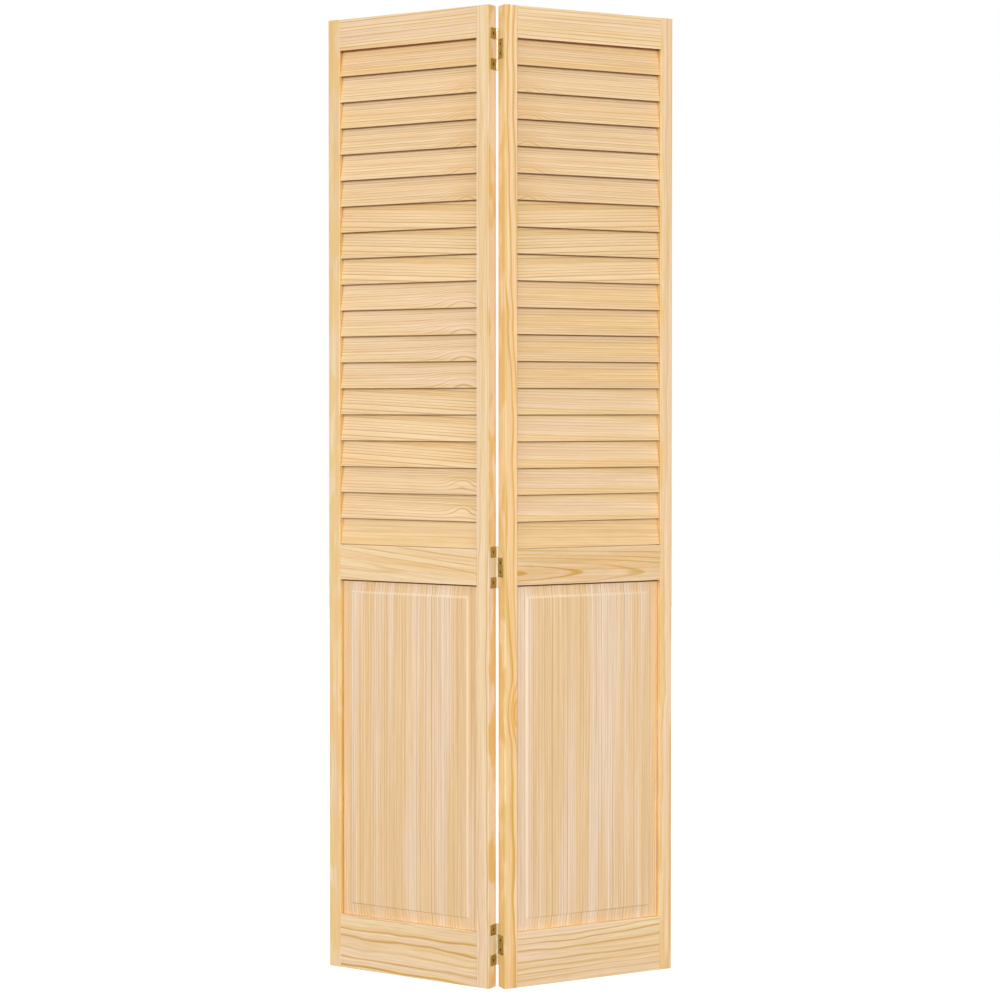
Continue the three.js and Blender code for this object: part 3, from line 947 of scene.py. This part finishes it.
PANEL_LOGS = {
    "left": cut_from_log(
        260, 10, 0.15, 0.3, 5.4, ring=6.5, wander=2.6, share=0.3, tone=-0.01, warmth=0.2,
        strength=0.8, blush=0.85),
    "right": cut_from_log(
        290, -10, -0.12, 0.2, 17.1, ring=6.5, wander=2.6, share=0.3, tone=0.005, warmth=0.14,
        strength=0.8, blush=0.95),
}


def slat_log(kind, index):
    """A log of this kind, a little different for each slat, but alike on both leaves."""
    chance = random.Random(index)

    def near(value, fact):
        return value + chance.uniform(-SLATS_DIFFER[fact], SLATS_DIFFER[fact])
    facts = {**SLAT_DEFAULTS, **SLAT_LOGS[kind]}
    facts["warmth"] = near(facts["warmth"], "warmth")
    pith = [near(value, "pith") for value in facts.pop("pith")]
    tilt = [near(value, "tilt") for value in facts.pop("tilt")]
    along = facts.pop("along") + chance.uniform(0, SLATS_DIFFER["along"])
    return cut_from_log(*pith, *tilt, along, tone=near(0, "tone"), **facts)


def make_boards():
    for node, log in FRAME_LOGS.items():
        frame_board(node, log)
    for leaf_name, kinds in SLAT_KINDS.items():
        for index, kind in enumerate(kinds):
            slat(leaf_name, index, slat_log(kind, index))
    for leaf_name, log in PANEL_LOGS.items():
        panel(leaf_name, log)


# Hinges, made with the pin at x = 0 and y = 0 and the stile towards +x
def turned(shape, profile, sides, centre=(0, 0, 0), axis="Z"):
    """A turned form: the profile's points are radius and distance along the axis."""
    origin = Vector(centre)
    rings = []
    for radius, height in profile:
        ring = []
        for index in range(1 if radius == 0 else sides):
            angle = 2 * math.pi * index / sides
            point = Vector((radius * math.cos(angle), radius * math.sin(angle), height))
            if axis == "X":
                point = Vector((point.z, point.x, point.y))
            ring.append(shape.verts.new(origin + point))
        rings.append(ring)
    for first, second in zip(rings, rings[1:]):
        for index in range(sides):
            after = (index + 1) % sides
            corners = [first[index % len(first)], first[after % len(first)],
                       second[after % len(second)], second[index % len(second)]]
            corners = list(dict.fromkeys(corners))
            if len(corners) > 2:
                shape.faces.new(corners)
    return rings


def loose_object(build, *sizes):
    """A helper solid for joining and cutting, removed afterwards."""
    shape = bmesh.new()
    build(shape, *sizes)
    bmesh.ops.recalc_face_normals(shape, faces=shape.faces)
    return place_object("helper", mesh_of(shape, "helper"))


def joined_and_cut(base, joined, cuts):
    """The base solid with another joined to it and others cut out of it, as one shape."""
    helpers = [("UNION", joined)] + [("DIFFERENCE", other) for other in cuts]
    for operation, other in helpers:
        modifier = base.modifiers.new(operation, "BOOLEAN")
        modifier.operation = operation
        modifier.object = other
        modifier.solver = "EXACT"
    bpy.context.view_layer.update()
    graph = bpy.context.evaluated_depsgraph_get()
    mesh = bpy.data.meshes.new_from_object(base.evaluated_get(graph))
    shape = bmesh.new()
    shape.from_mesh(mesh)
    bpy.data.meshes.remove(mesh)
    for spent in [base] + [other for _, other in helpers]:
        mesh = spent.data
        bpy.data.objects.remove(spent)
        bpy.data.meshes.remove(mesh)
    return shape


def finish_metal(name, shape, material, leaf_name, sharp_angle, nodes=(), turn=Matrix.Identity(4)):
    """Turns a shape built in a leaf's directions into a brass piece of that leaf."""
    shape.transform(LEAVES[leaf_name] @ turn)
    mesh = smooth_mesh(shape, name, sharp_angle)
    return finish_piece(name, mesh, material, leaf_name + "_leaf", nodes)


def plate_outline(low, high, inset):
    """A hinge plate's outline in y and z, with its two far corners rounded."""
    far, bottom, top = PLATE_REACH - inset, low + inset, high - inset
    radius = PLATE_CORNER - inset
    points = [(0.0, top), (0.0, bottom)]
    for centre_z, start in ((bottom + radius, -math.pi / 2), (top - radius, 0.0)):
        for step in range(PLATE_CORNER_STEPS + 1):
            angle = start + step / PLATE_CORNER_STEPS * math.pi / 2
            points.append((
                far - radius + radius * math.cos(angle), centre_z + radius * math.sin(angle)))
    return points


def plate_blank(shape, low, high):
    sections = ((PLATE_FACE, PLATE_EASE), (PLATE_FACE + PLATE_EASE, 0.0), (PLATE_BACK, 0.0))
    loft(shape, [
        [(x, y, z) for y, z in plate_outline(low, high, inset)] for x, inset in sections])


def knuckle_blank(shape, low, high):
    flat_radius = KNUCKLE_RADIUS - PLATE_EASE
    turned(shape, [
        (0, low), (flat_radius, low), (KNUCKLE_RADIUS, low + PLATE_EASE),
        (KNUCKLE_RADIUS, high - PLATE_EASE), (flat_radius, high), (0, high)], KNUCKLE_SIDES)


def knuckle_hole(shape, low, high):
    low, high = low - CUT_MARGIN, high + CUT_MARGIN
    turned(shape, [(0, low), (KNUCKLE_BORE, low), (KNUCKLE_BORE, high), (0, high)], HOLE_SIDES)


def rolled_seam(shape, low, high):
    """The thin gap where the rolled knuckle meets the plate again."""
    near_x, far_x = PLATE_BACK, PLATE_BACK + SEAM_WIDTH
    corners = (
        (near_x, SEAM_START), (far_x, SEAM_START), (far_x, SEAM_END), (near_x, SEAM_END))
    loft(shape, [[(x, y, z) for x, y in corners] for z in (low - CUT_MARGIN, high + CUT_MARGIN)])


def countersink(shape, z):
    turned(shape, [
        (0, -CUT_MARGIN), (SCREW_SEAT, -CUT_MARGIN), (SCREW_SEAT, 0),
        (SCREW_RADIUS, SCREW_SEAT - SCREW_RADIUS), (SCREW_RADIUS, HOLE_DEPTH), (0, HOLE_DEPTH)],
        HOLE_SIDES, (PLATE_FACE, SCREW_LINE, z), "X")


def hinge_leaf(name, leaf_name, low, high, screw_levels, node):
    """A tab or centre plate, with its rolled knuckle and countersunk holes."""
    base = loose_object(plate_blank, low, high)
    knuckle = loose_object(knuckle_blank, low, high)
    cuts = [loose_object(knuckle_hole, low, high), loose_object(rolled_seam, low, high)]
    cuts += [loose_object(countersink, level) for level in screw_levels]
    shape = joined_and_cut(base, knuckle, cuts)
    made = finish_metal(name, shape, PLATE_BRASS, leaf_name, sharp_angle=30, nodes=[node])

    # The knuckle's outside takes the barrels' near-white colour, a painted reflection
    made.data.materials.append(PAINTED_REFLECTION_BRASS)
    to_leaf = LEAVES[leaf_name].inverted()
    for face in made.data.polygons:
        place = to_leaf @ face.center
        if math.hypot(place.x, place.y) < KNUCKLE_RADIUS + REFLECTION_MARGIN:
            face.material_index = 1


def hinge_pin(name, z):
    tip = []
    for step in range(PIN_TIP_STEPS):
        turn = step / PIN_TIP_STEPS * math.pi / 2
        tip.append((PIN_RADIUS * math.cos(turn), TAB_END + PIN_TIP * math.sin(turn)))
    tip.append((0, TAB_END + PIN_TIP))
    profile = [(radius, -height) for radius, height in reversed(tip)] + tip
    shape = bmesh.new()
    turned(shape, profile, PIN_SIDES, (0, 0, z))
    finish_metal(name, shape, PAINTED_REFLECTION_BRASS, "right", sharp_angle=40)


def cross_outline(reach, half_arm):
    """The twelve corners of a cross, anticlockwise from its right arm's lower corner."""
    points = []
    for quarter in range(4):
        turn = Matrix.Rotation(quarter * math.pi / 2, 2)
        for x, y in ((reach, -half_arm), (reach, half_arm), (half_arm, half_arm)):
            points.append(turn @ Vector((x, y)))
    return points


def screw_head_face(shape, rim, centre):
    """Fills the head's face round a tapering cross recess."""
    def cross(x, reach, half_arm):
        return [shape.verts.new(centre + Vector((x, point.x, point.y)))
                for point in cross_outline(reach, half_arm)]
    mouth = cross(SCREW_SINK, RECESS_REACH, RECESS_HALF_ARM)
    floor = cross(SCREW_SINK + RECESS_DEPTH, RECESS_FLOOR_REACH, RECESS_FLOOR_HALF_ARM)
    join_rings(shape, mouth, floor)
    shape.faces.new(floor)
    edges = [shape.edges.get((ring[index], ring[(index + 1) % len(ring)]))
             for ring in (mouth, rim) for index in range(len(ring))]
    bmesh.ops.triangle_fill(shape, use_beauty=True, edges=edges)


def thread_radius(x, turn_share):
    """The shank's radius at a distance along it, in a direction given as a share of a turn."""
    narrowing = min(1.0, (SCREW_LENGTH - x) / SCREW_POINT)
    phase = (x / THREAD_PITCH - turn_share) % 1
    ridge = max(0.0, 1 - abs(phase - 0.5) / RIDGE_HALF_WIDTH)
    return max(SCREW_TIP_RADIUS, (SCREW_CORE + (SCREW_RADIUS - SCREW_CORE) * ridge) * narrowing)


def screw(name, leaf_name, z, turn):
    """A countersunk wood screw with a cross recess, a threaded shank and a point."""
    centre = Vector((PLATE_FACE, SCREW_LINE, z))
    shape = bmesh.new()
    rim_end = SCREW_SINK + SCREW_HEAD_RIM
    rings = turned(shape, [
        (SCREW_HEAD_RADIUS, SCREW_SINK), (SCREW_HEAD_RADIUS, rim_end),
        (SCREW_RADIUS, rim_end + SCREW_HEAD_RADIUS - SCREW_RADIUS), (SCREW_RADIUS, THREAD_START)],
        SCREW_SIDES, centre, "X")
    screw_head_face(shape, rings[0], centre)
    last = rings[-1]
    for step in range(1, THREAD_STEPS + 1):
        x = THREAD_START + step / THREAD_STEPS * (SCREW_LENGTH - THREAD_START)
        ring = []
        for index in range(SCREW_SIDES):
            angle = 2 * math.pi * index / SCREW_SIDES
            radius = thread_radius(x, index / SCREW_SIDES)
            ring.append(shape.verts.new(
                centre + Vector((x, radius * math.cos(angle), radius * math.sin(angle)))))
        join_rings(shape, last, ring)
        last = ring
    shape.faces.new(last)
    about = Matrix.Translation(centre) @ Matrix.Rotation(turn, 4, "X") @ Matrix.Translation(-centre)
    finish_metal(name, shape, SCREW_BRASS, leaf_name, sharp_angle=35, turn=about)


def make_hinges():
    chance = random.Random(3)
    reach = CENTRE_PLATE_HEIGHT / 2
    for place, z in HINGE_LEVELS.items():
        tabs = {"upper": (z + TAB_START, z + TAB_END), "lower": (z - TAB_END, z - TAB_START)}
        for end, (low, high) in tabs.items():
            node = f"{place}_hinge_{end}_tab"
            level = (low + high) / 2
            hinge_leaf(node + "_leaf", "left", low, high, [level], node)
            screw(node + "_screw", "left", level, chance.uniform(*SCREW_TURNS))
        node = place + "_hinge_plate_and_pin"
        levels = [z - SCREW_SPACING / 2, z + SCREW_SPACING / 2]
        hinge_leaf(place + "_hinge_centre_leaf", "right", z - reach, z + reach, levels, node)
        hinge_pin(place + "_hinge_pin", z)
        for end, level in zip(("lower", "upper"), levels):
            name = f"{place}_hinge_centre_{end}_screw"
            screw(name, "right", level, chance.uniform(*SCREW_TURNS))


# Studio
FLOOR_RADIUS = 9.0
FLOOR_SIDES = 96
FLOOR_DROP = 0.2 * MM
FLOOR_SHADE = shade(150, 150, 150)
FLOOR_GLOW = 0.93
WHITE = (1, 1, 1, 1)
LIGHT_FROM_BELOW = 0.06
LIGHT_FROM_ABOVE = 0.36
LIGHT_IN_GLOSS = 0.85
LIGHT_RISES_FROM = -0.2
LAMP_DISTANCE = 5
CAMERA_PLACE = (0.1701, -4.8363, 1.1911)
CAMERA_TURN = (math.radians(90 - 1.19), 0, math.radians(1.98))
CAMERA_LENS = 83.7
CAMERA_SHIFT = -0.045
CAMERA_FARTHEST = 50

# Each lamp's azimuth, height, spread and power
SOFT_LAMPS = {
    "key light": (-3, 10, 14, 1.28),
    "left fill light": (-45, 12, 34, 0.9),
    "right fill light": (45, 12, 34, 0.9),
    "top light": (-3, 62, 50, 0.25),
    "back light": (180, 30, 20, 2.2),
}


def pale_floor():
    """A round white floor that runs into the backdrop, and throws little light back up."""
    material, w, surface = material_wiring("white studio floor")
    surface.inputs["Base Color"].default_value = FLOOR_SHADE
    surface.inputs["Roughness"].default_value = 1.0
    surface.inputs["Specular IOR Level"].default_value = 0.0
    seen = w.add("ShaderNodeLightPath").outputs["Is Camera Ray"]
    surface.inputs["Emission Color"].default_value = WHITE
    w.feed(surface.inputs["Emission Strength"], w.times(seen, FLOOR_GLOW))
    shape = bmesh.new()
    bmesh.ops.create_circle(shape, cap_ends=True, segments=FLOOR_SIDES, radius=FLOOR_RADIUS)
    floor = place_object("studio_floor", mesh_of(shape, "studio_floor"))
    floor.data.materials.append(material)
    floor.location.z = -FLOOR_DROP


def white_room():
    """Soft light, most of it from above, in a room that is seen as plain white behind the door."""
    world = bpy.data.worlds.new("white room")
    bpy.context.scene.world = world
    world.use_nodes = True
    w = Wiring(world.node_tree)
    height = w.split(w.add("ShaderNodeTexCoord").outputs["Generated"])[2]
    from_above = w.step(height, LIGHT_RISES_FROM, 1.0, LIGHT_FROM_BELOW, LIGHT_FROM_ABOVE)
    rays = w.add("ShaderNodeLightPath").outputs
    glow = w.mix(rays["Is Glossy Ray"], from_above, (LIGHT_IN_GLOSS,) * 3 + (1,))
    glow = w.mix(rays["Is Camera Ray"], glow, WHITE)
    w.feed(world.node_tree.nodes["Background"].inputs["Color"], glow)


def soft_lights():
    """Distant lamps: azimuth is measured from the viewer's side towards the right, in degrees."""
    for name, (*angles, power) in SOFT_LAMPS.items():
        azimuth, height, spread = map(math.radians, angles)
        lamp = bpy.data.lights.new(name, "SUN")
        lamp.energy = power
        lamp.angle = spread
        level = math.cos(height)
        towards = Vector((
            math.sin(azimuth) * level, -math.cos(azimuth) * level, math.sin(height)))
        made = place_object(name, lamp)
        made.location = Vector((0, 0, DOOR_HEIGHT / 2)) + LAMP_DISTANCE * towards
        made.rotation_euler = (-towards).to_track_quat("-Z", "Y").to_euler()


def camera():
    """The photograph's view: nearly level, a little above the door's middle and to its right."""
    data = bpy.data.cameras.new("camera")
    data.lens = CAMERA_LENS
    data.shift_y = CAMERA_SHIFT
    data.clip_end = CAMERA_FARTHEST
    made = place_object("camera", data)
    made.location = CAMERA_PLACE
    made.rotation_euler = CAMERA_TURN
    bpy.context.scene.camera = made


camera()
make_boards()
make_hinges()
pale_floor()
white_room()
soft_lights()
bpy.context.scene.view_settings.view_transform = "Standard"
